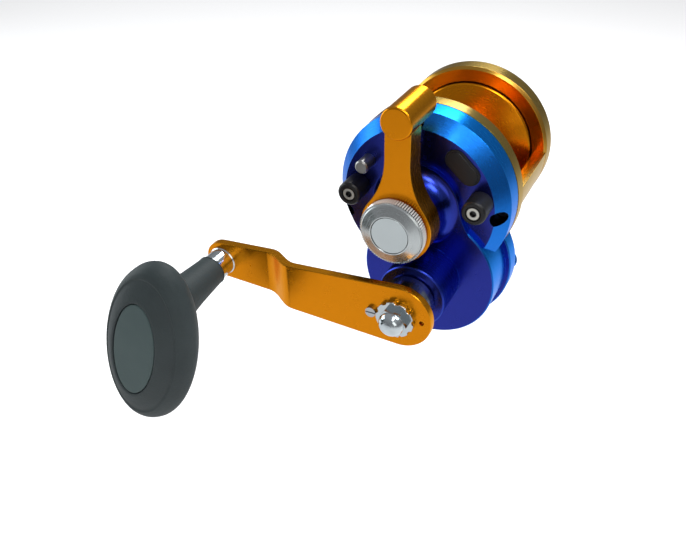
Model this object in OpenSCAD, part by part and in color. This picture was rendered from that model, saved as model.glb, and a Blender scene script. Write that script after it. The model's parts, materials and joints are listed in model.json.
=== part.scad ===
// Lever-drag trolling reel: one-piece frame, gear-side plate, spool on a sliding
// shaft, 3:1 gear train, lever with preset knob, cranked handle with oval grip.
// Millimetres. +X runs along the spool axis towards the handle side, +Y towards
// the rod tip, +Z up. The origin is the centre of the reel foot's underside.
// Names: _r is a radius, _a an angle in degrees, x_ a station along the spool axis.

/* [Frame] */
// height of the spool axis above the foot's underside
axis_h = 46; // [46:0.5:50]
// outer radius of the ring on the gear side
ring_r = 37.4; // [37:0.1:38.5]
// outer radius of the ring on the closed side
far_ring_r = 35.5; // [35:0.1:36.5]

/* [Spool] */
// radius of the spool flanges
flange_r = 28.5; // [27.4:0.1:28.6]
// radius of the spool arbor
arbor_r = 14; // [12:0.5:18]

/* [Side plate] */
// length of the boss that carries the drive shaft, measured from the raised deck
boss_len = 18.1; // [17.9:0.1:18.4]
// radius of the rim's chamfer where it meets the flat face
face_r = 32.4; // [32:0.1:34]

/* [Lever] */
// distance from the spool axis to the lever's barrel
lever_len = 43.9; // [43.9:0.1:50]
// half width of the lever's neck
neck_w = 5.2; // [4:0.1:6]
// radius of the drag preset knob over its knurl
preset_r = 13.3; // [12:0.1:13.6]

/* [Handle] */
// distance between the drive shaft and the grip's spindle
crank_len = 85.4; // [83:0.1:92]
// half width of the arm at the drive shaft
arm_near = 13.5; // [12.5:0.1:14.5]
// half width of the arm at the grip
arm_far = 8.4; // [8:0.1:10]
// long dimension of the grip
grip_long = 84.4; // [78:0.2:88]
// short dimension of the grip
grip_short = 39.4; // [37:0.2:42]

/* [Hidden] */
gold = [0.85, 0.48, 0.06];
blue = [0.07, 0.14, 0.62];
steel = [0.72, 0.74, 0.76];
dark = [0.10, 0.10, 0.11];
brass = [0.78, 0.65, 0.30];
grip_grey = [0.17, 0.20, 0.20];
inset_grey = [0.23, 0.28, 0.28];

// stations along the spool axis
x_ring = 21.4;        // inner faces of the two rings, at plus and minus
x_joint = 28.0;       // ring to side plate joint
x_bridge = 30.2;      // handle-side face of the bridge plate
x_rim = 37.1;         // start of the rim chamfer
x_face = 43.6;        // flat face of the side plate
x_deck = 46.1;        // raised deck of the gear case
x_boss = x_deck + boss_len;
x_rib = 52.2;         // spool-side face of the lever's rib
x_lever_back = 55.9;  // lever, spool-side face
x_lever_front = 65.9; // lever, outer face
x_arm = 79.0;         // outer face of the arm at the drive shaft
x_arm_far = 72.0;     // outer face of the arm at the grip
x_grip = 81.6;        // spool-side end of the grip

// shafts and the bores that share their sizes
spool_shaft_r = 4.5;
pinion_r = 6.5;       // pinion sleeve
drive_inner_r = 4.5;  // drive shaft inside the gear chamber
drive_outer_r = 5;    // drive shaft through the boss
spindle_r = 3.5;
running_fit = 0.06;   // radial gap of bearings and bushes on their shafts
spool_seat_r = 8;     // spool bearings
click_hub_r = 10;     // spool hub under the click gear
end_seat_r = 6;       // bearing in the closed ring
pinion_seat_r = 11;
boss_bore_r = 9.5;

// gear train, one millimetre of pitch diameter per tooth
main_teeth = 48;
pinion_teeth = 16;
pressure_a = 25;
addendum = 0.85;
dedendum = 1.15;
backlash = 0.12;
gear_dist = (main_teeth + pinion_teeth) / 2;
gear_a = -76.7;       // direction of the gear axis from the spool axis
gear_y = gear_dist * cos(gear_a);
gear_z = gear_dist * sin(gear_a);

// places about the spool axis
opening_r = 30.3;     // inside of the frame's bars
plate_screw_r = 33.4;
plate_screw_angles = [0.7, 95, 200];
bumpers = [[26.3, 174.5], [27.2, 14.5]]; // [radius, angle]
stop_pin_r = 2.8;
button_place_r = 26.7;
button_a = 48.5;
x_spring = 31.5;      // spool-side end of the button's spring
cam_pin_r = 1.2;
click_y = -21;        // click slider, rearward of the axis
lever_a = 91;
barrel_r = 6.3;

// places about the gear axis
bridge_screw_r = 26.65;
bridge_screw_angles = [-150, -77, -5];
pawl_dist = 16.5;
pawl_a = 215;

foot_screw_pos = 11;  // foot screws from the centre, both ways

$fn = 72;

// ---------------------------------------------------------------- outlines
function polar(r, a) = [r * cos(a), r * sin(a)];

function arc(y, z, r, a0, a1, steps) =
    [for (i = [0:steps]) [y, z] + polar(r, a0 + (a1 - a0) * i / steps)];

function wedge(a0, a1, r) = [[0, 0], polar(r, a0), polar(r, (a0 + a1) / 2), polar(r, a1)];

// rectangular section of a plain ring, points are [radius, X]
function ring_section(inner, outer, x0, x1) =
    [[inner, x0], [outer, x0], [outer, x1], [inner, x1]];

// outline round two circles on the local x axis
function capsule(r1, r2, length) =
    let (tangent_a = acos((r1 - r2) / length))
    concat(arc(0, 0, r1, tangent_a, 360 - tangent_a, 48),
        arc(length, 0, r2, -tangent_a, tangent_a, 24));

function oval(a, b, count = 44) =
    [for (i = [0:count - 1]) [a * cos(i * 360 / count), b * sin(i * 360 / count)]];

// involute gear outline, a tooth centred on the local x axis
function involute_a(a) = tan(a) * 180 / PI - a;
function gear_outline(teeth) =
    let (pitch_r = teeth / 2,
        base_r = pitch_r * cos(pressure_a),
        tip_r = pitch_r + addendum,
        root_r = pitch_r - dedendum,
        base_half_a = 90 / teeth - backlash / 2 / pitch_r * 180 / PI + involute_a(pressure_a),
        steps = 5,
        start_r = max(base_r, root_r),
        // half tooth from root to tip, [radius, half angle]
        flank = [for (j = [0:steps]) let (r = start_r + (tip_r - start_r) * j / steps)
            [r, base_half_a - involute_a(acos(min(1, base_r / r)))]],
        side = concat(base_r > root_r ? [[root_r, flank[0][1]]] : [], flank))
    [for (i = [0:teeth - 1]) let (tooth_a = i * 360 / teeth)
        each concat([for (p = side) polar(p[0], tooth_a - p[1])],
            [for (j = [len(side) - 1:-1:0]) polar(side[j][0], tooth_a + side[j][1])])];

// --------------------------------------------------------------- placement
// local x, y, z become Y, Z, X about the spool axis
module spool_at(x = 0, y = 0, z = 0)
    translate([x, y, axis_h + z]) rotate([90, 0, 90]) children();
module gear_at(x = 0) spool_at(x, gear_y, gear_z) children();
module polar_at(r, a) spool_at(0, r * cos(a), r * sin(a)) children();
module gear_polar_at(r, a)
    spool_at(0, gear_y + r * cos(a), gear_z + r * sin(a)) children();

module at_plate_screws()
    for (a = plate_screw_angles) polar_at(plate_screw_r, a) children();
module at_bumpers() for (p = bumpers) polar_at(p[0], p[1]) children();
module at_stop_pin() polar_at(26.2, 145.9) children();
module at_spring() polar_at(button_place_r, button_a) children();
module at_button() at_spring() rotate([0, 0, button_a + 90]) children();
module at_cam_pins() for (i = [0:1]) polar_at(7.4, 40 + 180 * i) children();
module at_bridge_screws()
    for (a = bridge_screw_angles) gear_polar_at(bridge_screw_r, a) children();
module at_foot_screws() for (sx = [-1, 1], sy = [-1, 1])
    translate([foot_screw_pos * sx, foot_screw_pos * sy, 0]) children();

// ------------------------------------------------------------ basic solids
// cylinder between two stations on the local z axis
module rod(r, z0, z1) translate([0, 0, z0]) cylinder(r = r, h = z1 - z0);
module spool_rod(r, x0, x1) spool_at() rod(r, x0, x1, $fn = 96);
module gear_rod(r, x0, x1) gear_at() rod(r, x0, x1, $fn = 96);

// solids of revolution, profile points are [radius, X]
module turned(profile) rotate_extrude() polygon(profile);
module spool_turned(profile) spool_at() turned(profile, $fn = 120);
module gear_turned(profile) gear_at() turned(profile, $fn = 120);

// hex socket screw; head, shank and socket are [start, end] on the local z axis
module socket_screw(head_r, head, shank, socket_r, socket) difference() {
    union() {
        rod(head_r, head[0], head[1], $fn = 48);
        rod(1.5, shank[0], shank[1], $fn = 24);
    }
    rod(socket_r, socket[0], socket[1], $fn = 6);
}

// ------------------------------------------------------------------- frame
// the bars and the foot block run slightly into both rings
module between_rings()
    spool_at(-x_ring - 0.3) linear_extrude(2 * x_ring + 0.6) children();

module frame_bar(a0, a1) between_rings() intersection() {
    difference() {
        circle(far_ring_r - 0.1, $fn = 144);
        circle(opening_r, $fn = 144);
    }
    polygon(wedge(a0, a1, 60));
}

module frame() color(gold) difference() {
    union() {
        // gear-side ring
        spool_turned([[29, x_ring], [ring_r - 0.6, x_ring], [ring_r, x_ring + 0.6],
            [ring_r, x_joint], [29, x_joint]]);
        // closed ring with its end wall
        spool_turned([[29, -29.2], [29, -x_ring], [far_ring_r - 1.2, -x_ring],
            [far_ring_r, -x_ring - 1.2], [far_ring_r, -29.8], [far_ring_r - 2.6, -32.4],
            [13, -32.8], [11.5, -34.4], [end_seat_r, -34.4], [end_seat_r, -29.2]]);
        frame_bar(-42, 3);
        frame_bar(177, 222);
        // block over the foot, trimmed outside the gear-side ring
        difference() {
            between_rings() difference() {
                polygon([[-17, -40.5], [17, -40.5], [17, -30], [15, -24], [-15, -24],
                    [-17, -30]]);
                circle(opening_r, $fn = 144);
            }
            spool_turned(ring_section(ring_r - 1, 60, x_ring - 0.1, x_ring + 2));
        }
    }
    at_plate_screws() rod(1.5, x_joint - 5, x_joint + 1, $fn = 24);
    at_foot_screws() rod(1.5, axis_h - 41, axis_h - 32, $fn = 24);
    // slot for the click slider
    spool_at(-36, click_y, 0) linear_extrude(10) union() {
        translate([0, -1.6]) square([2.2, 3.2]);
        circle(1.6, $fn = 32);
        translate([2.2, 0]) circle(1.6, $fn = 32);
    }
}

// -------------------------------------------------------------- side plate
// a circle at the lever and one at the gear, joined by concave curves
function deck_outline() =
    let (hub_r = 18.7, case_r = 27.3, fillet_r = 30,
        hub_dist = hub_r + fillet_r,
        case_dist = case_r + fillet_r,
        fillet_x = (hub_dist * hub_dist - case_dist * case_dist + gear_dist * gear_dist)
            / (2 * gear_dist),
        fillet_y = sqrt(hub_dist * hub_dist - fillet_x * fillet_x),
        hub_a = atan2(fillet_y, fillet_x),
        case_a = atan2(fillet_y, fillet_x - gear_dist))
    concat(arc(0, 0, hub_r, hub_a, 360 - hub_a, 48),
        arc(fillet_x, -fillet_y, fillet_r, 180 - hub_a, 180 - case_a, 14),
        arc(gear_dist, 0, case_r, -case_a, case_a, 56),
        arc(fillet_x, fillet_y, fillet_r, case_a - 180, hub_a - 180, 14));

// flared hub under the lever, [radius, X]
hub_flare = concat([[0, x_deck - 1], [18.4, x_deck - 1]],
    [for (i = [0:12]) let (t = i / 12) [13.4 + 5 * pow(1 - t, 2.6),
        x_deck + (x_lever_back - 0.3 - x_deck) * pow(t, 1.5)]],
    [[0, x_lever_back - 0.3]]);

module side_plate_body() {
    spool_turned([[0, x_joint], [37.2, x_joint], [37.2, x_rim], [face_r, x_face],
        [0, x_face]]);
    // gear case with its skirt outside the frame ring
    difference() {
        gear_turned([[0, x_ring], [30.0, x_ring], [30.7, x_ring + 0.7], [30.7, 28.7],
            [30.2, 29.2], [28.6, 29.2], [28.6, x_deck - 0.5], [28.1, x_deck], [0, x_deck]]);
        spool_rod(37.5, x_ring - 1, x_joint);
    }
    spool_at(x_face - 1) rotate([0, 0, gear_a]) linear_extrude(x_deck - x_face + 1)
        polygon(deck_outline());
    spool_turned(hub_flare);
    gear_turned([[0, x_deck - 1], [14.1, x_deck - 1], [14.1, x_boss - 0.5], [13.6, x_boss],
        [0, x_boss]]);
}

module side_plate() color(blue) difference() {
    union() side_plate_body();
    // hollow of the skirt
    difference() {
        gear_rod(27.0, 23.4, x_joint + 0.5);
        spool_rod(39.2, 22, x_joint + 1);
    }
    // seat of the bridge plate
    gear_rod(27.6, x_joint - 0.01, x_bridge + 0.1);
    // gear chamber, leaving the wall round the pinion bearing
    difference() {
        gear_rod(25.9, 30, 42.9);
        spool_rod(14, 37.2, 44);
    }
    // pinion chamber, pinion bearing seat, shaft bore, cam recess
    spool_rod(10, x_joint - 1, 37.3);
    spool_rod(pinion_seat_r, 37.2, 42.6);
    spool_rod(spool_shaft_r + 0.1, 40, 60);
    spool_rod(9.7, 47.4, 60);
    gear_rod(boss_bore_r, 42.5, 70);
    // counterbored screw holes through the rim
    at_plate_screws() {
        rod(3.0, 32, 46, $fn = 48);
        rod(1.6, x_joint - 1, x_joint + 7, $fn = 24);
    }
    at_button() translate([0, 0, 37.6]) linear_extrude(10) button_outline(4.35);
    at_spring() rod(2.6, x_spring, x_spring + 8, $fn = 32);
    at_stop_pin() rod(stop_pin_r, 36, 46, $fn = 48);
    at_bumpers() {
        rod(1.5, 35, 45, $fn = 24);
        rod(5.05, x_face, x_face + 6, $fn = 64);
    }
    at_cam_pins() rod(cam_pin_r, 45, 49, $fn = 24);
    at_bridge_screws() rod(0.6, 30, 34, $fn = 24);
    gear_polar_at(pawl_dist, pawl_a) rod(1.5, 42, 44.6, $fn = 32);
}

module side_plate_screws() color(steel) at_plate_screws()
    socket_screw(head_r = 2.75, head = [32, 34.6], shank = [x_joint - 4.5, x_joint + 4],
        socket_r = 1.4, socket = [33, 36]);

// -------------------------------------------------------------------- foot
module reel_foot() color(blue) difference() {
    intersection() {
        // plan: square middle with a round-ended tongue fore and aft
        linear_extrude(8) union() {
            translate([-16.5, -17.5]) square([33, 35]);
            polygon(concat(arc(0, 26, 8, 0, 180, 16), [[-11, 15], [-11, -15]],
                arc(0, -26, 8, 180, 360, 16), [[11, -15], [11, 15]]));
        }
        // side view, [Y, Z]
        translate([-20, 0, 0]) rotate([90, 0, 90]) linear_extrude(40)
            polygon([[-34.5, 0], [34.5, 0], [34.5, 1.2], [32, 2.2], [24, 3.4], [18.5, 5.5],
                [-18.5, 5.5], [-24, 3.4], [-32, 2.2], [-34.5, 1.2]]);
    }
    at_foot_screws() {
        rod(1.6, -1, 9, $fn = 24);
        rod(3.0, -0.5, 2.2, $fn = 48);
    }
}

module foot_screws() color(steel) at_foot_screws()
    socket_screw(head_r = 2.8, head = [0.3, 2.2], shank = [2, 12.5],
        socket_r = 1.2, socket = [-0.5, 1.5]);

// ---------------------------------------------- fittings on the side plate
x_bumper_seat = 51.2; // under the bumper screw's head

module stop_bumpers() color(dark) at_bumpers() difference() {
    turned([[0, x_face], [5.0, x_face], [5.0, 52.9], [4.3, 53.6], [0, 53.6]], $fn = 64);
    rod(1.6, 40, 60, $fn = 24);
    rod(3.1, x_bumper_seat, x_bumper_seat + 4, $fn = 48);
}

module bumper_screws() color(steel) at_bumpers()
    socket_screw(head_r = 2.9, head = [x_bumper_seat, x_bumper_seat + 2.2],
        shank = [36, 51.5], socket_r = 1.4, socket = [52.2, 55.2]);

module stop_pin() color(steel) at_stop_pin()
    turned([[0, 36], [stop_pin_r, 36], [stop_pin_r, 51.1], [2.3, 51.6], [0, 51.6]], $fn = 48);

// straight-sided outline with ends of radius r
module button_outline(r) union() {
    square([8, 2 * r], center = true);
    translate([4, 0]) circle(r, $fn = 48);
    translate([-4, 0]) circle(r, $fn = 48);
}

module push_button() color(dark) at_button() difference() {
    union() {
        translate([0, 0, 39.4]) linear_extrude(4.8) button_outline(4.3);
        translate([0, 0, 44.1]) linear_extrude(0.7) button_outline(3.5);
    }
    rod(2.4, 39, 40.4, $fn = 32);
}

module button_spring() color(steel) at_spring() difference() {
    rod(2.2, x_spring, x_spring + 7.5, $fn = 32);
    rod(1.6, x_spring - 1, x_spring + 10, $fn = 32);
}

module cam_pins() color(steel) at_cam_pins() rod(cam_pin_r, 45, 48.2, $fn = 24);

module pawl_pin() color(steel)
    gear_polar_at(pawl_dist, pawl_a) rod(1.5, 36.6, 44, $fn = 32);

// -------------------------------------------------- bridge plate, bearings
module bridge_plate() color(steel) difference() {
    gear_rod(27.4, x_joint, x_bridge);
    spool_rod(10, x_joint - 1, 31);
    gear_rod(7, x_joint - 1, 31);
    at_bridge_screws() rod(0.63, 27, 31, $fn = 24);
    for (a = [-30, -77, -124]) gear_polar_at(17, a) rod(5, 27, 31, $fn = 48);
}

module bridge_screws() color(steel) at_bridge_screws() union() {
    rod(0.6, 28.05, 28.95, $fn = 24);
    rod(0.6, 28.5, 33.7, $fn = 24);
}

module left_bearing_cap() color(gold)
    spool_turned([[0, -34.4], [11, -34.4], [11, -35.8], [10, -36.8], [0, -36.8]]);

module shaft_end_bearing() color(steel)
    spool_turned(ring_section(3.05, end_seat_r, -33.4, -29.4));

module pinion_bearing() color(steel)
    spool_turned(ring_section(pinion_r + running_fit, pinion_seat_r, 37.4, 42.4));

module drive_bearing_inner() color(steel)
    gear_turned(ring_section(drive_inner_r + running_fit, 7, 28.05, x_bridge));

module drive_bearing_outer() color(steel)
    gear_turned(ring_section(drive_outer_r + running_fit, boss_bore_r, 56, 61));

module roller_clutch() color(steel)
    gear_turned(ring_section(drive_outer_r + running_fit, boss_bore_r, 45, 54));

module boss_seal() color(dark)
    gear_turned(ring_section(drive_outer_r + 0.1, boss_bore_r, 61.3, x_boss - 0.5));

// ------------------------------------------------------------------- spool
spool_profile = [[6, -21.5], [spool_seat_r, -21.5], [spool_seat_r, -27],
    [click_hub_r, -27], [click_hub_r, -22.5],
    [flange_r - 0.7, -22.5], [flange_r, -21.8], [flange_r, -19.9], [flange_r - 0.5, -19.4],
    [arbor_r + 2, -14.9], [arbor_r, -13.6], [arbor_r, 13.6], [arbor_r + 2, 14.9],
    [flange_r - 0.5, 19.4], [flange_r, 19.9], [flange_r, 21.8], [flange_r - 0.7, 22.5],
    [spool_seat_r, 22.5], [spool_seat_r, 17.5], [6, 17.5]];

module spool() color(gold) spool_turned(spool_profile);

module drag_washer() color(dark) spool_turned(ring_section(11, 26, 22.5, 24.0));

module spool_bearing(x0, x1)
    spool_turned(ring_section(spool_shaft_r + running_fit, spool_seat_r, x0, x1));
module spool_bearing_left() color(steel) spool_bearing(-26.8, -21.5);
module spool_bearing_right() color(steel) spool_bearing(17.5, 22.3);

module click_gear() color(brass) spool_at(-26.4) linear_extrude(3.0) difference() {
    polygon([for (i = [0:23]) let (a = 180 + i * 15)
        each [polar(12.8, a), polar(15, a + 7), polar(15, a + 8)]]);
    circle(click_hub_r, $fn = 96);
}

// disc outside the closed ring, stem through the slot, pointed tongue inside
module click_slider() color(dark) spool_at(0, click_y, 0) union() {
    rod(4.2, -37.2, -34.6, $fn = 48);
    rod(1.5, -34.8, -26.4, $fn = 32);
    translate([0, 0, -26.5]) linear_extrude(2.8)
        polygon([[-1.6, -1.5], [2, -1.5], [5.6, -0.3], [5.6, 0.3], [2, 1.5], [-1.6, 1.5]]);
}

module spool_shaft() color(steel)
    spool_turned([[0, -33.2], [3, -33.2], [3, -29], [spool_shaft_r, -28.6],
        [spool_shaft_r, 57.5], [3, 57.9], [3, 69.2], [0, 69.2]]);

// two cone washers, opposed
module spring_washers() color(steel) union() {
    spool_turned([[4.5, 22.6], [5.9, 22.9], [5.9, 23.3], [4.5, 23.0]]);
    spool_turned([[4.5, 23.5], [5.9, 23.31], [5.9, 23.75], [4.5, 23.98]]);
}

module drag_plate() color(steel)
    spool_turned([[pinion_r, 24.3], [26.4, 24.3], [26.4, 26.6], [10, 26.6], [9, 27.6],
        [pinion_r, 27.6]]);

// -------------------------------------------------------------- gear train
module pinion_gear() color(steel) difference() {
    union() {
        spool_rod(pinion_r, 24.3, 42.4);
        spool_at(30.5) rotate([0, 0, gear_a + 180 / pinion_teeth]) linear_extrude(6)
            polygon(gear_outline(pinion_teeth));
    }
    spool_rod(spool_shaft_r + 0.08, 20, 50);
}

module main_gear() color(brass) difference() {
    gear_at(31) rotate([0, 0, gear_a + 180]) linear_extrude(5)
        polygon(gear_outline(main_teeth));
    gear_rod(drive_inner_r, 20, 50);
    for (i = [0:5]) gear_at() rotate([0, 0, 60 * i]) translate([14.5, 0, 0])
        rod(4, 30, 38, $fn = 48);
}

module drive_shaft() color(steel)
    gear_turned([[0, 28.2], [drive_inner_r, 28.2], [drive_inner_r, 42],
        [drive_outer_r, 42.4], [drive_outer_r, x_arm - 3.9], [4, x_arm - 3.6],
        [4, x_arm + 0.1], [3, x_arm + 0.5], [3, x_arm + 4.9], [0, x_arm + 4.9]]);

module ratchet_wheel() color(steel) difference() {
    gear_at(36.9) rotate([0, 0, pawl_a + 37]) linear_extrude(2.4)
        polygon([for (i = [0:11]) let (a = 30 * i)
            each [polar(7.4, a), polar(7.4, a + 14), polar(9.8, a + 27), polar(9.8, a + 30)]]);
    gear_rod(drive_inner_r, 30, 50);
}

// the outline is drawn engaged, then swung clear of the wheel
module pawl() color(steel) gear_at(37) rotate([0, 0, pawl_a]) translate([pawl_dist, 0, 0])
    rotate([0, 0, -10]) linear_extrude(2.2) difference() {
        union() {
            circle(3, $fn = 48);
            translate([-pawl_dist, 0]) polygon([[14.6, -1.5], [18.2, 1.6], [11.4, 7.6],
                [8.2, 8.6], [6.9, 8.0], polar(8.1, 47), polar(8.15, 38.6), polar(10.0, 37.6)]);
        }
        circle(1.55, $fn = 32);
    }

// ------------------------------------------------------------------- lever
// round hub filleted into a straight neck along local y
function lever_outline() =
    let (hub_r = 14.6, fillet_r = 32,
        fillet_x = neck_w + fillet_r,
        fillet_y = sqrt((hub_r + fillet_r) * (hub_r + fillet_r) - fillet_x * fillet_x),
        join_a = atan2(fillet_y, fillet_x),
        top = lever_len - 3)
    concat(arc(0, 0, hub_r, 180 - join_a, 360 + join_a, 48),
        arc(fillet_x, fillet_y, fillet_r, 180 + join_a, 180, 10),
        [[neck_w, top], [-neck_w, top]],
        arc(-fillet_x, fillet_y, fillet_r, 0, -join_a, 10));

module lever_arm() color(gold) difference() {
    union() {
        spool_at(x_lever_back) rotate([0, 0, lever_a - 90])
            linear_extrude(x_lever_front - x_lever_back) polygon(lever_outline());
        // rib on the spool-side face
        spool_at(x_rib) rotate([0, 0, lever_a - 90]) linear_extrude(x_lever_back - x_rib + 1)
            translate([-4, 15]) square([8, 16]);
    }
    spool_rod(spool_shaft_r + 0.1, 50, 70);
    polar_at(lever_len, lever_a) rod(barrel_r, 40, 80, $fn = 96);
}

module lever_barrel() color(gold) polar_at(lever_len, lever_a)
    turned([[0, 43.4], [5.7, 43.4], [barrel_r, 44.0], [barrel_r, 67.5], [5.8, 68.0],
        [0, 68.0]], $fn = 96);

// disc with two raised sectors on its spool-side face
module lever_cam() color(steel) difference() {
    union() {
        spool_rod(9.5, 49.2, x_lever_back);
        spool_at(48.4) linear_extrude(1) intersection() {
            circle(9.4, $fn = 96);
            union() {
                polygon(wedge(60, 190, 20));
                polygon(wedge(240, 370, 20));
            }
        }
    }
    spool_rod(spool_shaft_r + 0.1, 40, 60);
}

module preset_knob() color(steel) difference() {
    union() {
        // knurled band of 80 teeth
        spool_at(66.3) linear_extrude(3.8) polygon([for (i = [0:79]) let (a = 4.5 * i)
            each [polar(preset_r, a), polar(preset_r, a + 1.3),
                polar(preset_r - 0.45, a + 2.6)]]);
        spool_turned([[0, 66.5], [12.6, 66.5], [12.6, 70.3], [12.2, 70.5], [8.2, 71.9],
            [0, 71.9]]);
    }
    spool_rod(3.1, 60, 70.4);
    spool_rod(7.8, 70.9, 75);
}

module preset_cap() color(steel)
    spool_turned([[0, 70.9], [7.7, 70.9], [7.7, 71.5], [7.5, 71.7], [0, 71.7]]);

// ------------------------------------------------------------------ handle
arm_a = 181.7;        // direction of the crank arm
arm_thick = 3.6;
bend_len = 15;
lock_screw_pos = 10.6; // along the arm from the drive shaft
washer_r = 5.4;       // spindle flange in the arm's recess
x_washer = x_arm_far - arm_thick + 1.2;

// local x runs along the arm from the drive shaft
module arm_frame() gear_at() rotate([0, 0, arm_a]) children();

module shaft_collar() color(steel)
    gear_turned([[drive_outer_r, x_boss + 0.2], [9.7, x_boss + 0.2], [10.3, x_boss + 0.8],
        [10.3, x_arm - 4.2], [9.8, x_arm - 3.7], [drive_outer_r, x_arm - 3.7]]);

// smooth step from the near level of the arm down to the far level
function bend(x, start) = [for (i = [0:10])
    [start + bend_len * i / 10, x - (x_arm - x_arm_far) * (1 - cos(18 * i)) / 2]];

// edge view of the arm, [distance along the arm, X]
function arm_edge() =
    let (end = crank_len + 10, inner_bend = bend(x_arm - arm_thick, 46.6))
    concat([[-18, x_arm]], bend(x_arm, 47.8),
        [[end, x_arm_far], [end, x_arm_far - arm_thick]],
        [for (i = [10:-1:0]) inner_bend[i]],
        [[-18, x_arm - arm_thick]]);

module handle_arm() color(gold) difference() {
    intersection() {
        arm_frame() translate([0, 0, 58]) linear_extrude(24) translate([-1, 0])
            polygon(capsule(arm_near, arm_far, crank_len + 1));
        arm_frame() translate([0, 30, 0]) rotate([90, 0, 0]) linear_extrude(60)
            polygon(arm_edge());
    }
    arm_frame() rod(4, 60, 90, $fn = 48);
    arm_frame() translate([-10.5, 0, 0]) rod(0.9, 60, 90, $fn = 24);
    arm_frame() translate([lock_screw_pos, 0, 0])
        rod(1.0, x_arm - 3.1, x_arm + 26.9, $fn = 24);
    // spindle hole and the recess for its flange
    arm_frame() translate([crank_len, 0, 0]) rod(spindle_r, 60, 80, $fn = 48);
    arm_frame() translate([crank_len, 0, 0]) rod(washer_r, 60, x_washer, $fn = 72);
}

module nut_lock_ring() color(steel) gear_at(x_arm) difference() {
    linear_extrude(2.2) difference() {
        circle(8.0, $fn = 96);
        for (i = [0:8]) rotate([0, 0, 40 * i + 5.8]) translate([8.7, 0]) circle(1.5, $fn = 24);
    }
    rod(4.1, -1, 4, $fn = 48);
}

// hexagon with a domed cap
module handle_nut() color(steel) difference() {
    union() {
        gear_at(x_arm + 2.2) cylinder(r = 6.2, h = 3, $fn = 6);
        gear_turned(concat([[0, x_arm + 2.4], [5.3, x_arm + 2.4]],
            [for (i = [0:8]) [5.3 * cos(i * 10), x_arm + 4.7 + 4.3 * sin(i * 10)]],
            [[0, x_arm + 9.06]]));
    }
    gear_rod(3, 70, x_arm + 5);
}

module lock_screw() color(steel) arm_frame() translate([lock_screw_pos, 0, 0]) difference() {
    union() {
        rod(2.2, x_arm, x_arm + 1.5, $fn = 48);
        rod(1.0, x_arm - 3, x_arm + 0.2, $fn = 24);
    }
    translate([-3, -0.3, x_arm + 0.9]) cube([6, 0.6, 2]);
}

// -------------------------------------------------------------------- grip
// the oval is set off the spindle's axis, and its outer face leans a little
grip_a = 74.8;                // long axis of the grip
grip_offset = [2.25, -7.4];   // oval from the spindle, [Y, Z]
inset_offset = [-3.1, 1.55];  // inset from the oval's centre, [Y, Z]
x_inset = 132.93;             // floor of the inset's pocket

// [X, long factor, short factor, share of the inset's offset]
grip_sections = [
    [114.76, 0.44, 0.4, 0], [118.36, 0.8, 0.72, 0], [121.38, 0.935, 0.89, 0],
    [124.01, 0.988, 0.98, 0], [126.44, 1, 1, 0], [129.07, 0.975, 0.955, 0.2],
    [131.61, 0.885, 0.83, 0.55], [133.36, 0.74, 0.66, 0.85], [134.23, 0.65, 0.56, 1]];

module grip_frame()
    spool_at(0, gear_y + crank_len * cos(arm_a), gear_z + crank_len * sin(arm_a)) children();

// oval slab with semi-axes a and b, shifted by a share of the inset's offset
module oval_slab(x, thick, a, b, share = 1)
    translate(concat(grip_offset + share * inset_offset, [x])) rotate([0, 0, grip_a])
        linear_extrude(thick) polygon(oval(a, b));

module grip_spindle() color(steel) grip_frame()
    turned([[0, 68.4], [washer_r, 68.4], [washer_r, x_washer], [spindle_r, x_washer],
        [spindle_r, 72.0], [6.4, 72.0], [6.4, 73.0], [6.0, 73.4], [6.0, 80.8], [5.6, 81.2],
        [spindle_r, 81.2], [spindle_r, 121], [0, 121]]);

module grip_bushes() color(brass) grip_frame() union() {
    turned(ring_section(spindle_r + running_fit, 5.2, 82.6, 90));
    turned(ring_section(spindle_r + running_fit, 5.2, 113, 120));
}

module grip_body() color(grip_grey) grip_frame() difference() {
    union() {
        hull() for (s = grip_sections)
            oval_slab(s[0] - 0.05, 0.1, grip_long / 2 * s[1], grip_short / 2 * s[2], s[3]);
        // flared neck
        turned([[0, x_grip], [6.3, x_grip], [6.6, x_grip + 0.4], [7.0, 87.98],
            [7.9, 97.72], [9.1, 106.48], [11.2, 114.27], [11.2, 119.14], [0, 119.14]]);
    }
    rod(5.2, 76, 122, $fn = 64);
    oval_slab(x_inset, 3, 25.0, 9.85);
}

module grip_inset() color(inset_grey) grip_frame() oval_slab(x_inset, 1.2, 24.5, 9.35);

module grip_ring() color(steel) grip_frame()
    turned([[4.4, 81.25], [6.7, 81.25], [6.8, 81.4], [6.8, x_grip - 0.02],
        [4.4, x_grip - 0.02]]);

frame();
side_plate();
reel_foot();
foot_screws();
side_plate_screws();
stop_bumpers();
bumper_screws();
stop_pin();
push_button();
button_spring();
left_bearing_cap();
shaft_end_bearing();
bridge_plate();
bridge_screws();
pinion_bearing();
drive_bearing_inner();
drive_bearing_outer();
roller_clutch();
boss_seal();
cam_pins();
pawl_pin();
spool();
drag_washer();
spool_bearing_left();
spool_bearing_right();
click_gear();
spool_shaft();
spring_washers();
pinion_gear();
drag_plate();
main_gear();
drive_shaft();
ratchet_wheel();
pawl();
click_slider();
lever_arm();
lever_barrel();
lever_cam();
preset_knob();
preset_cap();
shaft_collar();
handle_arm();
handle_nut();
nut_lock_ring();
lock_screw();
grip_spindle();
grip_body();
grip_inset();
grip_ring();
grip_bushes();
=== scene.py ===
# A lever-drag fishing reel. The spool axis lies parallel to X, Z is up, and the handle's grip
# points along +X. The frame gives the machined parts in metres; dimensions named here are in
# millimetres unless they belong to a material or to the stage.
import json
import math
import bpy
import bmesh
from mathutils import Vector, Matrix


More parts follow.
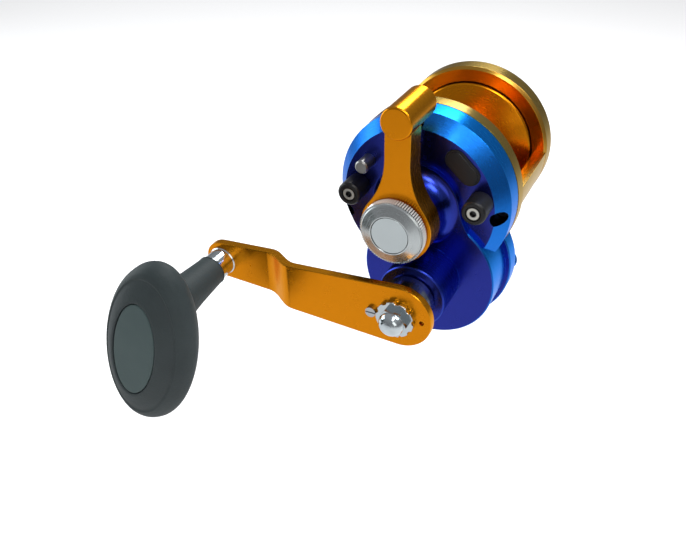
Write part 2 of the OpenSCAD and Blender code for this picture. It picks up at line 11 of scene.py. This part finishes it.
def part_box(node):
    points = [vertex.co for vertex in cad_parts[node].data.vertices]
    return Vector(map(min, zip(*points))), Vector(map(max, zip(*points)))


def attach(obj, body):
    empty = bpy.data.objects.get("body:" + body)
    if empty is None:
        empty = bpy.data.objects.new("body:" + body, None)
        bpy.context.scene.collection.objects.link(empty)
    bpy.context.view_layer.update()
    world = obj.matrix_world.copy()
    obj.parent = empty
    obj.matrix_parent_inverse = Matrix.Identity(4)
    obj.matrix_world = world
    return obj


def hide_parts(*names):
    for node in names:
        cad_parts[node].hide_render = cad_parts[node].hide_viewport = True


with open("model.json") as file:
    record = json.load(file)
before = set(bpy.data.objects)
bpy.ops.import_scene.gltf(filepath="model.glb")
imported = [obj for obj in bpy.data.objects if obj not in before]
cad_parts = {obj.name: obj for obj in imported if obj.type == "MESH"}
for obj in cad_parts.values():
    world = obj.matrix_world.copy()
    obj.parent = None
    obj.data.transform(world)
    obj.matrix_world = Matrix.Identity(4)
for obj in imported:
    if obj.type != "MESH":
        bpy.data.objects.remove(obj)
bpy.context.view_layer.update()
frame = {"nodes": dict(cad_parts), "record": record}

MM = 0.001

slot_of = {part["node"]: part["material_slot"] for part in frame["record"]["subparts"]}
body_of = {}
for body, members in frame["record"]["behaviour"]["bodies"].items():
    for member in members:
        body_of[member] = body


def axis_of(node):
    """The (y, z) centre of a node's box, in millimetres."""
    low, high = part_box(node)
    return (low.y + high.y) / 2 / MM, (low.z + high.z) / 2 / MM


SPOOL_AXIS = axis_of("pinion_bearing")
COLLAR_AXIS = axis_of("shaft_collar")


# ------------------------------------------------------------------ shader nodes
class Nodes:
    """Builds nodes in an emptied tree. An input takes another node's output or a plain value."""

    def __init__(self, tree):
        self.tree = tree
        tree.nodes.clear()

    def fill(self, node, inputs):
        for key, value in inputs.items():
            socket = node.inputs[key]
            if isinstance(value, bpy.types.NodeSocket):
                self.tree.links.new(value, socket)
            elif socket.type == "RGBA":
                socket.default_value = (*value, 1)
            else:
                socket.default_value = value

    def node(self, kind, inputs={}, **settings):
        node = self.tree.nodes.new("ShaderNode" + kind)
        for key, value in settings.items():
            setattr(node, key, value)
        self.fill(node, inputs)
        return node

    def coords(self, scale=(1, 1, 1)):
        place = self.node("TexCoord").outputs["Object"]
        return self.node("Mapping", {"Vector": place, "Scale": scale}).outputs[0]

    def noise(self, vector, scale, detail=4, roughness=0.55):
        inputs = {"Vector": vector, "Scale": scale, "Detail": detail, "Roughness": roughness}
        return self.node("TexNoise", inputs).outputs["Fac"]

    def ramp(self, factor, stops):
        """A blend between two (position, colour) stops."""
        node = self.node("ValToRGB", {0: factor})
        for element, (position, color) in zip(node.color_ramp.elements, stops):
            element.position = position
            element.color = (*color, 1)
        return node.outputs[0]

    def remap(self, value, to_min=0, to_max=1, from_min=0, from_max=1):
        inputs = {"Value": value, "To Min": to_min, "To Max": to_max,
                  "From Min": from_min, "From Max": from_max}
        return self.node("MapRange", inputs).outputs[0]

    def math(self, operation, *values):
        return self.node("Math", dict(enumerate(values)), operation=operation).outputs[0]

    def vector_math(self, operation, first, second):
        return self.node("VectorMath", {0: first, 1: second}, operation=operation)

    def mix(self, factor, first, second):
        """Colour mix: first where factor is 0, second where it is 1."""
        inputs = {0: factor, 6: first, 7: second}
        return self.node("Mix", inputs, data_type="RGBA", blend_type="MIX").outputs[2]

    def bump(self, height, strength, distance, under=None):
        """Relief, laid over another bump if one is given."""
        node = self.node("Bump", {"Height": height, "Strength": strength, "Distance": distance})
        if under is not None:
            self.fill(node, {"Normal": under})
        return node.outputs[0]

    def edge_mask(self, radius):
        """1 along sharp edges, 0 on open faces."""
        bevel = self.node("Bevel", {"Radius": radius}, samples=4)
        normal = self.node("NewGeometry").outputs["Normal"]
        match = self.vector_math("DOT_PRODUCT", bevel.outputs[0], normal)
        return self.remap(match.outputs["Value"], from_min=1 - 0.02, from_max=1 - 0.30)

    def axial(self, power=2.0):
        """1 on faces square to the spool axis, 0 on faces round it."""
        normal = self.node("TexCoord").outputs["Normal"]
        split = self.node("SeparateXYZ", {0: normal})
        return self.math("POWER", self.math("ABSOLUTE", split.outputs["X"]), power)

    def away(self, axis, near, far):
        """0 within near of the X-parallel line through axis (y, z), 1 beyond far, in mm."""
        place = self.node("TexCoord").outputs["Object"]
        flat = self.vector_math("MULTIPLY", place, (0, 1, 1)).outputs[0]
        distance = self.vector_math("DISTANCE", flat, (0, axis[0] * MM, axis[1] * MM))
        return self.remap(distance.outputs["Value"], from_min=near * MM, from_max=far * MM)


MATERIALS = {}


class Material(Nodes):
    """A new material, kept in MATERIALS, with a Principled shader on its output."""

    def __init__(self, name):
        material = bpy.data.materials.new(name)
        material.use_nodes = True
        super().__init__(material.node_tree)
        output = self.node("OutputMaterial")
        self.shader = self.node("BsdfPrincipled")
        self.fill(output, {0: self.shader.outputs[0]})
        MATERIALS[name] = material

    def surface(self, color, roughness, normal, **others):
        self.fill(self.shader, {"Base Color": color, "Roughness": roughness, "Normal": normal})
        self.fill(self.shader, {key.replace("_", " "): value for key, value in others.items()})


def scaled(color, factor):
    return tuple(factor * channel for channel in color)


# ------------------------------------------------------------------ materials
def anodised(name, face, side, edge, roughness, grain, edge_highlight_amount, coat, masks=(), holes=()):
    """Dyed satin aluminium: face tone square to the axis, and round it a side tone that is a
    painted reflection; painted highlights brighten the edges.

    masks: (axis, near, far, tone) puts this tone in place of the painted side reflection inside
    near, fading out by far.
    holes: (axis, radius) of near-black discs, painted shade in the holes."""
    mat = Material(name)
    plain = mat.coords()
    blotches = mat.noise(plain, scale=55, detail=3)
    fine = mat.noise(plain, scale=2400, detail=5, roughness=0.6)
    # Stretched round the axis, like turning marks
    turning = mat.noise(mat.coords((7000, 240, 240)), scale=1.0, detail=3)
    # The side tone is a painted reflection on surfaces round the axis; the masks swap in a
    # plainer tone
    tone = side
    for axis, near, far, inner in masks:
        tone = mat.mix(mat.away(axis, near, far), inner, tone)
    color = mat.mix(mat.axial(), tone, face)
    # Painted shade: near-black discs over the holes
    for axis, radius in holes:
        rim = mat.away(axis, radius - 0.05, radius + 0.05)
        color = mat.mix(rim, (0.002, 0.002, 0.006), color)
    color = mat.mix(mat.remap(blotches, to_max=0.16), color, scaled(face, 0.55))
    # Painted highlight: the bright edge tone laid along sharp edges
    painted_edge_highlight = mat.remap(mat.edge_mask(radius=0.00035), to_max=edge_highlight_amount)
    color = mat.mix(painted_edge_highlight, color, edge)
    mat.surface(color,
                mat.remap(turning, roughness - 0.05, roughness + 0.05),
                mat.bump(fine, strength=grain, distance=0.00002),
                Metallic=1.0, Coat_Weight=coat, Coat_Roughness=0.15,
                Specular_Tint=tuple(0.55 + 0.45 * channel for channel in edge))


def steel(name, color, roughness, spread, scale, relief=0.2, dirt=0.35):
    """Bare metal. scale stretches the grain along x, y and z; spread varies the roughness."""
    mat = Material(name)
    grain = mat.noise(mat.coords(scale), scale=1.0)
    stains = mat.noise(mat.coords(), scale=90, detail=3)
    mat.surface(mat.mix(mat.remap(stains, to_max=dirt), color, scaled(color, 0.62)),
                mat.remap(grain, max(0.02, roughness - spread), roughness + spread),
                mat.bump(grain, strength=relief, distance=0.00001),
                Metallic=1.0)


def rubber(name, dark, light, roughness, grain, scale, dust=0.35):
    """Pebbled rubber or plastic: grain is the relief's strength, scale its fineness."""
    mat = Material(name)
    plain = mat.coords()
    blotches = mat.noise(plain, scale=45)
    fine = mat.noise(plain, scale=scale, detail=6, roughness=0.7)
    cells = mat.node("TexVoronoi", {"Vector": plain, "Scale": scale * 0.8}).outputs["Distance"]
    color = mat.ramp(blotches, [(0.3, dark), (0.7, light)])
    color = mat.mix(mat.remap(fine, to_max=dust), color, scaled(light, 1.8))
    pebbles = mat.bump(cells, strength=grain, distance=0.0001)
    mat.surface(color,
                mat.remap(fine, roughness - 0.08, roughness + 0.1),
                mat.bump(fine, strength=grain, distance=0.00008, under=pebbles),
                Specular_IOR_Level=0.35)


def knurl():
    """The knob's steel: bright turned faces, and teeth with near-black painted shade in the
    grooves between them.
    """
    mat = Material("knurl")
    plain = mat.coords()
    turning = mat.noise(mat.coords((5200, 160, 160)), scale=1.0)
    # Painted shade: surfaces round the axis inside 12.8 mm, the grooves among them, go near
    # black; the crests stay bright steel
    teeth = mat.away(SPOOL_AXIS, near=12.80, far=13.12)
    tone = mat.mix(teeth, (0.012, 0.012, 0.013), (0.80, 0.82, 0.82))
    color = mat.mix(mat.axial(power=1.2), tone, (0.60, 0.64, 0.645))
    stains = mat.remap(mat.noise(plain, scale=90, detail=3), to_max=0.25)
    mat.surface(mat.mix(stains, color, (0.34, 0.36, 0.37)),
                mat.remap(turning, 0.16, 0.34),
                mat.bump(turning, strength=0.15, distance=0.00001),
                Metallic=mat.remap(mat.axial(power=1.2), 0.25, 1.0))


HEAD_INSET = 2.9  # from a corner of the two screws' shared box to a head's centre


def screw_head():
    """Turned screw heads: bright face, dark rim and dark recess."""
    mat = Material("screw_head")
    low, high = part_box("bumper_screws")
    heads = ((high.y / MM - HEAD_INSET, high.z / MM - HEAD_INSET),
             (low.y / MM + HEAD_INSET, low.z / MM + HEAD_INSET))

    def outside_heads(near, far):
        return mat.math("MULTIPLY", *[mat.away(head, near, far) for head in heads])

    grain = mat.noise(mat.coords((900, 900, 900)), scale=1.0)
    color = mat.mix(outside_heads(1.25, 1.55), (0.05, 0.05, 0.05), (0.58, 0.58, 0.53))
    color = mat.mix(outside_heads(2.35, 2.6), color, (0.02, 0.02, 0.02))
    mat.surface(color,
                mat.remap(grain, 0.25, 0.45),
                mat.bump(grain, strength=0.4, distance=0.00002),
                Metallic=1.0)


anodised("gold_anodised", face=(0.74, 0.245, 0.004), side=(0.72, 0.28, 0.008),
         edge=(1.0, 0.62, 0.06), roughness=0.26, grain=0.22, edge_highlight_amount=0.7, coat=0.04)
# The olive side tone is a painted reflection on the ring's outer surfaces; inside 33.2 mm it
# stays saturated orange
anodised("gold_ring", face=(0.70, 0.29, 0.008), side=(0.40, 0.29, 0.085),
         edge=(0.80, 0.54, 0.12), roughness=0.24, grain=0.2, edge_highlight_amount=0.45, coat=0.05,
         masks=[(SPOOL_AXIS, 33.2, 34.4, (0.68, 0.32, 0.012))])

DEEP_BLUE = (0.022, 0.050, 0.40)
HOLE_CIRCLE = 33.4         # radius of the circle of dark holes round the spool axis
HOLE_RADIUS = 3.05
HOLE_ANGLES = (0.7, 95, 200)  # degrees from +Y towards +Z


def on_hole_circle(degrees):
    angle = math.radians(degrees)
    return (SPOOL_AXIS[0] + HOLE_CIRCLE * math.cos(angle),
            SPOOL_AXIS[1] + HOLE_CIRCLE * math.sin(angle))


# The bright cyan side tone is a painted reflection; near the spool and collar hubs it gives way
# to deep blue, and the holes get painted shade
anodised("blue_anodised", face=(0.026, 0.036, 0.30), side=(0.001, 0.25, 0.86),
         edge=(0.05, 0.34, 1.0), roughness=0.26, grain=0.22, edge_highlight_amount=0.40, coat=0.06,
         masks=[(SPOOL_AXIS, 19.5, 21, DEEP_BLUE), (COLLAR_AXIS, 15, 16.5, DEEP_BLUE)],
         holes=[(on_hole_circle(degrees), HOLE_RADIUS) for degrees in HOLE_ANGLES])

steel("steel", color=(0.50, 0.52, 0.54), roughness=0.24, spread=0.08, scale=(60, 3000, 3000))
steel("screw_steel", color=(0.36, 0.36, 0.35), roughness=0.36, spread=0.10,
      scale=(900, 900, 900), relief=0.3, dirt=0.6)
steel("collar_steel", color=(0.36, 0.40, 0.42), roughness=0.20, spread=0.08,
      scale=(160, 2600, 2600), dirt=0.6)
steel("black_steel", color=(0.16, 0.16, 0.17), roughness=0.34, spread=0.08,
      scale=(900, 900, 900))
steel("chrome", color=(0.60, 0.66, 0.69), roughness=0.15, spread=0.05,
      scale=(500, 500, 500), relief=0.06, dirt=0.2)
steel("knob_steel", color=(0.56, 0.61, 0.62), roughness=0.22, spread=0.08,
      scale=(5200, 160, 160), relief=0.15, dirt=0.25)
knurl()
rubber("black_plastic", dark=(0.005, 0.005, 0.006), light=(0.011, 0.011, 0.012),
       roughness=0.36, grain=0.10, scale=900, dust=0.15)
rubber("black_rubber", dark=(0.006, 0.006, 0.006), light=(0.012, 0.012, 0.012),
       roughness=0.6, grain=0.2, scale=900)
rubber("grip_rubber", dark=(0.019, 0.028, 0.030), light=(0.029, 0.040, 0.042),
       roughness=0.60, grain=0.45, scale=1300)
rubber("inset_rubber", dark=(0.050, 0.080, 0.080), light=(0.062, 0.095, 0.094),
       roughness=0.58, grain=0.25, scale=2200, dust=0.25)
steel("brass", color=(0.72, 0.50, 0.18), roughness=0.25, spread=0.08, scale=(1500, 1500, 60))
screw_head()
rubber("carbon", dark=(0.01, 0.01, 0.011), light=(0.03, 0.03, 0.032),
       roughness=0.5, grain=0.4, scale=700)

# Nodes that wear something other than their slot's material
SPECIAL = {"frame": "gold_ring", "preset_knob": "knurl", "bumper_screws": "screw_head"}


def material_of(node):
    return MATERIALS[SPECIAL.get(node, slot_of[node])]


for name, ob in frame["nodes"].items():
    if not ob.data.materials:
        ob.data.materials.append(material_of(name))
    for i in range(len(ob.data.materials)):
        ob.data.materials[i] = material_of(name)


# ------------------------------------------------------------------ mesh tools
def add_object(name, data):
    ob = bpy.data.objects.new(name, data)
    bpy.context.scene.collection.objects.link(ob)
    return ob


def smooth(mesh, degrees):
    mesh.polygons.foreach_set("use_smooth", [True] * len(mesh.polygons))
    mesh.set_sharp_from_angle(angle=math.radians(degrees))


def register(ob, body, node):
    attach(ob, body)
    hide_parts(node)


def skin(name, rings, start, end, material, sharp_angle):
    """A closed surface over equal rings of points, fanned to a pole at start and at end."""
    count = len(rings[0])
    points = [point for ring in rings for point in ring] + [start, end]
    start_pole = len(points) - 2
    last = start_pole - count
    pairs = [(i, (i + 1) % count) for i in range(count)]
    faces = [(a + i, a + count + i, a + count + j, a + j)
             for a in range(0, last, count) for i, j in pairs]
    for i, j in pairs:
        faces.append((start_pole, i, j))
        faces.append((start_pole + 1, last + j, last + i))

    mesh = bpy.data.meshes.new(name)
    mesh.from_pydata([[value * MM for value in point] for point in points], [], faces)
    mesh.validate()
    mesh.update()
    ob = add_object(name, mesh)
    mesh.materials.append(material)
    # Faces go into bmesh already smooth, so that no flat-face layer comes back
    smooth(mesh, sharp_angle)
    bm = bmesh.new()
    bm.from_mesh(mesh)
    bmesh.ops.recalc_face_normals(bm, faces=bm.faces)
    bm.to_mesh(mesh)
    bm.free()
    smooth(mesh, sharp_angle)
    return ob


# ------------------------------------------------------------------ edge-finished parts
ROUND_SEGMENTS = 2
ROUND_ANGLE = 22     # edges sharper than this, in degrees, are rounded
SHADE_ANGLE = 38
MAX_FOLD = 0.25      # square millimetres

# Node and the width of the round on its edges
EDGED = (
    ("frame", 0.22), ("side_plate", 0.15), ("lever_arm", 0.35), ("lever_barrel", 0.3),
    ("handle_arm", 0.45), ("stop_bumpers", 0.2), ("push_button", 0.2), ("spool", 0.15),
    ("shaft_collar", 0.2), ("nut_lock_ring", 0.2), ("reel_foot", 0.25),
    ("left_bearing_cap", 0.2),
)


def thin(face, width):
    """True for a strip too narrow to take a round along its edges."""
    perimeter = max(sum(edge.calc_length() for edge in face.edges), 1e-9)
    return 2 * face.calc_area() / perimeter < 2.3 * width * MM


def fold_area(mesh):
    """The largest surplus of a face's triangles over its own area, in square millimetres."""
    mesh.calc_loop_triangles()
    totals = [0.0] * len(mesh.polygons)
    for triangle in mesh.loop_triangles:
        totals[triangle.polygon_index] += triangle.area
    return max(totals[face.index] - face.area for face in mesh.polygons) / MM ** 2


def rounded_mesh(node, width, skip_thin):
    source = frame["nodes"][node]
    mesh = source.data.copy()
    mesh.name = node + "_edged"
    if mesh.attributes.get("custom_normal"):
        mesh.attributes.remove(mesh.attributes["custom_normal"])
    bm = bmesh.new()
    bm.from_mesh(mesh)
    bm.transform(source.matrix_world)
    bmesh.ops.remove_doubles(bm, verts=bm.verts, dist=3e-6)
    bmesh.ops.dissolve_limit(bm, angle_limit=math.radians(0.5), verts=bm.verts, edges=bm.edges)
    for edge in bm.edges:
        edge.smooth = True
    limit = math.radians(ROUND_ANGLE)
    sharp = [edge for edge in bm.edges
             if len(edge.link_faces) == 2 and edge.calc_face_angle(0) > limit
             and not (skip_thin and any(thin(face, width) for face in edge.link_faces))]
    bmesh.ops.bevel(bm, geom=sharp, offset=width * MM, offset_type="OFFSET",
                    segments=ROUND_SEGMENTS, profile=0.5, affect="EDGES",
                    clamp_overlap=False, loop_slide=True)
    bmesh.ops.recalc_face_normals(bm, faces=bm.faces)
    bm.to_mesh(mesh)
    bm.free()
    return mesh


def unfolded_mesh(node, width):
    """The first rounded mesh that doesn't fold, from the boldest round down, or None."""
    tries = ((width, False), (width, True), (0.5 * width, False), (0.5 * width, True),
             (0.045, False), (0.02, False))
    for try_width, skip_thin in tries:
        mesh = rounded_mesh(node, try_width, skip_thin)
        if fold_area(mesh) < MAX_FOLD:
            return mesh
        bpy.data.meshes.remove(mesh)
    return None


def edged_part(node, width):
    """Replaces a node by a copy with its sharp edges rounded, unless every copy folds."""
    mesh = unfolded_mesh(node, width)
    if mesh is None:
        return
    ob = add_object(node + "_edged", mesh)
    mesh.materials.clear()
    mesh.materials.append(material_of(node))
    for face in mesh.polygons:
        face.material_index = 0
    smooth(mesh, SHADE_ANGLE)
    normals = ob.modifiers.new("normals", "WEIGHTED_NORMAL")
    normals.mode = "FACE_AREA"
    normals.weight = 100
    normals.keep_sharp = True
    register(ob, body_of[node], node)


for node, width in EDGED:
    edged_part(node, width)


# ------------------------------------------------------------------ knurled knob
TEETH = 80
TOOTH = (0, 0.5, 1, 0.5)  # share of the knurl's depth cut at each step round one tooth
KNURL_DEPTH = 0.6
RIM_LENGTH = 3.9
BORE_RADIUS = 3.1
BORE_DEPTH = 4.1
RECESS_RADIUS = 7.78


def knurled_knob():
    """A straight-knurled rim, a blind bore from the low-x end and a recessed high-x nose."""
    low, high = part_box("preset_knob")
    x0 = low.x / MM
    x1 = high.x / MM
    rim = x0 + RIM_LENGTH
    radius = (high.y - low.y) / 2 / MM
    root = radius - KNURL_DEPTH
    # x, radius, depth of the knurl's cut
    stations = [
        # bore and low-x face
        (x0 + BORE_DEPTH, BORE_RADIUS, 0), (x0, BORE_RADIUS, 0),
        (x0, radius - 1.2, 0), (x0, root - 0.25, 0),
        # knurled rim
        (x0 + 0.25, radius - 0.05, KNURL_DEPTH), (x0 + 0.5, radius, KNURL_DEPTH),
        (rim - 0.5, radius, KNURL_DEPTH), (rim - 0.2, radius - 0.08, KNURL_DEPTH),
        (rim, root - 0.1, 0),
        # nose and its recess
        (x0 + 4.05, 12.35, 0), (x0 + 4.25, 12.1, 0), (x1 - 0.12, 8.5, 0), (x1, 8.2, 0),
        (x1, 7.9, 0), (x1 - 0.15, RECESS_RADIUS, 0), (x1 - 0.95, RECESS_RADIUS, 0),
    ]
    segments = TEETH * len(TOOTH)
    rings = []
    for x, outer, depth in stations:
        ring = []
        for i in range(segments):
            angle = 2 * math.pi * i / segments
            reach = outer - depth * TOOTH[i % len(TOOTH)]
            ring.append((x, SPOOL_AXIS[0] + reach * math.cos(angle),
                         SPOOL_AXIS[1] + reach * math.sin(angle)))
        rings.append(ring)
    knob = skin("preset_knob_knurled", rings, (stations[0][0], *SPOOL_AXIS),
                (stations[-1][0], *SPOOL_AXIS), MATERIALS["knurl"], sharp_angle=14)
    register(knob, "preset", "preset_knob")


knurled_knob()

# ------------------------------------------------------------------ grip
GRIP_Y, GRIP_Z = axis_of("grip_ring")
GRIP_X0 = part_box("grip_body")[0].x / MM
GRIP_X1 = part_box("grip_body")[1].x / MM
OVAL_TILT = math.radians(74.8)   # of the ovals' long axis, from +Y towards +Z
OVAL_SEGMENTS = 112
PADDLE_CENTRE = (2.25, -7.4)     # y, z from the grip's axis, where the dome starts
PADDLE_DRIFT = (-3.1, 1.55)      # y, z moved from there to the high-x face

# x above GRIP_X0, long radius, short radius, y and z of the centre from the grip's axis
BORE = (
    (40.4, 5.15, 5.15, 0, 0), (0.3, 5.2, 5.2, 0, 0), (0.02, 5.5, 5.5, 0, 0),
    (0.02, 5.9, 5.9, 0, 0),
)
STEM = (
    (0.15, 6.15, 6.15, 0, 0), (0.5, 6.55, 6.55, 0, 0), (6.4, 7.0, 7.0, 0, 0),
    (16.1, 7.8, 7.8, 0, 0), (24.9, 9.0, 9.0, 0, 0), (29.6, 10.6, 10.4, 0.2, -0.6),
    (32.6, 14.6, 11.6, 0.8, -2.8), (34.8, 23.5, 13.0, 1.7, -5.6),
)
# x below GRIP_X1, long radius, short radius, share of the drift
DOME = (
    (15.85, 33.4, 14.6, 0), (12.85, 39.4, 17.6, 0), (10.2, 41.7, 19.3, 0),
    (7.8, 42.2, 19.7, 0), (5.2, 41.2, 18.9, 0.2), (3.5, 39.4, 17.5, 0.4),
    (2.75, 37.9, 16.6, 0.5), (2.45, 36.9, 16.1, 0.55), (2.55, 36.2, 15.8, 0.58),
    (2.45, 35.4, 15.3, 0.62), (1.6, 32.6, 14.0, 0.74), (0.7, 29.0, 12.2, 0.9),
    (0.15, 26.6, 10.8, 1),
)
LIP = (
    (0.04, 25.7, 10.2, 1), (0.12, 25.25, 9.85, 1), (0.5, 25.0, 9.7, 1),
    (1.28, 24.95, 9.65, 1),
)
PAD = (
    (1.25, 24.3, 9.1, 1), (1.2, 24.5, 9.35, 1), (0.5, 24.55, 9.4, 1), (0.2, 24.3, 9.15, 1),
    (0.08, 23.7, 8.6, 1), (-0.02, 20, 6.9, 1), (-0.10, 12, 4.0, 1), (-0.12, 4, 1.3, 1),
)
PAD_CROWN = 0.125  # the pad's middle above GRIP_X1


def from_low_end(table):
    return [(GRIP_X0 + x, *rest) for x, *rest in table]


def from_high_end(table):
    return [(GRIP_X1 - x, long, short,
             PADDLE_CENTRE[0] + PADDLE_DRIFT[0] * share,
             PADDLE_CENTRE[1] + PADDLE_DRIFT[1] * share) for x, long, short, share in table]


def catmull(keys, steps):
    """A Catmull-Rom curve through the keys, with this many steps between neighbours."""
    out = []
    last = len(keys) - 1
    for i in range(last):
        around = (keys[max(i - 1, 0)], keys[i], keys[i + 1], keys[min(i + 2, last)])
        for j in range(steps):
            t = j / steps
            out.append(tuple(
                0.5 * (2 * b + (c - a) * t + (2 * a - 5 * b + 4 * c - d) * t * t
                       + (3 * b - a - 3 * c + d) * t ** 3)
                for a, b, c, d in zip(*around)))
    out.append(keys[-1])
    return out


def oval_ring(x, long, short, centre_y, centre_z):
    ring = []
    for i in range(OVAL_SEGMENTS):
        angle = 2 * math.pi * i / OVAL_SEGMENTS
        u = long * math.cos(angle)
        v = short * math.sin(angle)
        y = u * math.cos(OVAL_TILT) - v * math.sin(OVAL_TILT) + centre_y
        z = u * math.sin(OVAL_TILT) + v * math.cos(OVAL_TILT) + centre_z
        ring.append((x, GRIP_Y + y, GRIP_Z + z))
    return ring


def loft(name, ovals, end_x, material):
    """A closed surface over the ovals, with its last pole at end_x."""
    first_x, _, _, first_y, first_z = ovals[0]
    last_y, last_z = ovals[-1][3:]
    return skin(name, [oval_ring(*oval) for oval in ovals],
                (first_x, GRIP_Y + first_y, GRIP_Z + first_z),
                (end_x, GRIP_Y + last_y, GRIP_Z + last_z), MATERIALS[material], sharp_angle=40)


# Stem and paddle in one skin, from the bottom of the bore to the seat of the pad
outside = catmull(from_low_end(STEM) + from_high_end(DOME), steps=5)
ovals = from_low_end(BORE) + outside + from_high_end(LIP)
paddle = loft("grip_paddle", ovals, ovals[-1][0], "grip_rubber")
register(paddle, "grip", "grip_body")

pad = loft("grip_pad", catmull(from_high_end(PAD), steps=3), GRIP_X1 + PAD_CROWN,
           "inset_rubber")
register(pad, "grip", "grip_inset")

# ------------------------------------------------------------------ stage, in metres
FLOOR_HALF = 6
FLOOR_Z = -0.120
AIM = Vector((0.04, -0.02, 0.03))  # the point every light faces


def build_floor():
    """A white floor that glows a little, for the camera only."""
    mesh = bpy.data.meshes.new("floor")
    corners = ((-1, -1), (1, -1), (1, 1), (-1, 1))
    mesh.from_pydata([(x * FLOOR_HALF, y * FLOOR_HALF, 0) for x, y in corners],
                     [], [(0, 1, 2, 3)])
    floor = add_object("floor", mesh)
    floor.location = (0, 0, FLOOR_Z)
    mat = Material("floor")
    seen = mat.node("LightPath").outputs["Is Camera Ray"]
    mat.fill(mat.shader, {"Base Color": (0.90, 0.90, 0.90), "Roughness": 0.7,
                          "Emission Strength": mat.math("MULTIPLY", seen, 0.42),
                          "Emission Color": (1, 1, 1)})
    mesh.materials.append(MATERIALS["floor"])


def area(name, location, size, power, color=(1, 1, 1)):
    light = bpy.data.lights.new(name, "AREA")
    light.shape = "RECTANGLE"
    light.size, light.size_y = size
    light.energy = power
    light.color = color
    ob = add_object(name, light)
    ob.location = location
    ob.rotation_mode = "QUATERNION"
    ob.rotation_quaternion = (AIM - Vector(location)).to_track_quat("-Z", "Y")


def build_world():
    """A soft sky gradient lights the reel; the camera sees plain white."""
    world = bpy.data.worlds.new("world")
    bpy.context.scene.world = world
    world.use_nodes = True
    nodes = Nodes(world.node_tree)
    direction = nodes.node("TexCoord").outputs["Generated"]
    height = nodes.node("SeparateXYZ", {0: direction}).outputs["Z"]
    sky = nodes.ramp(nodes.remap(height, from_min=-1),
                     [(0.45, (0.55, 0.55, 0.56)), (0.9, (0.95, 0.96, 1.0))])
    lighting = nodes.node("Background", {"Color": sky, "Strength": 0.36})
    backdrop = nodes.node("Background", {"Color": (1, 1, 1), "Strength": 1.0})
    seen = nodes.node("LightPath").outputs["Is Camera Ray"]
    mixed = nodes.node("MixShader", {0: seen, 1: lighting.outputs[0], 2: backdrop.outputs[0]})
    nodes.node("OutputWorld", {0: mixed.outputs[0]})


def build_camera():
    data = bpy.data.cameras.new("camera")
    camera = add_object("camera", data)
    data.sensor_width = 36
    data.lens = 41.98
    data.clip_start = 0.01
    data.clip_end = 20
    view = Vector((-0.74060946, -0.37038567, -0.56063543)).normalized()
    right = Vector((-0.4472918, 0.89438809, 0.0)).normalized()
    turn = Matrix((right, right.cross(view), -view)).transposed().to_4x4()
    camera.matrix_world = Matrix.Translation(Vector((0.3102, 0.0997, 0.2062))) @ turn
    bpy.context.scene.camera = camera


build_floor()
area("key", (-0.06, 0.40, 0.62), size=(0.36, 0.30), power=2.4)
area("top", AIM + Vector((0.44, 0.30, 0.87)) * 0.62, size=(0.20, 0.26), power=1.3)
area("back", AIM + Vector((-0.74, -0.12, 0.66)) * 0.75, size=(0.30, 0.22), power=2.6)
area("left", (0.10, -0.80, 0.16), size=(0.55, 0.50), power=2.6, color=(0.90, 0.97, 1.0))
area("front", (0.75, 0.45, 0.30), size=(0.35, 0.45), power=0.7, color=(1.0, 0.98, 0.95))
build_world()
build_camera()
bpy.context.scene.view_settings.view_transform = "Standard"
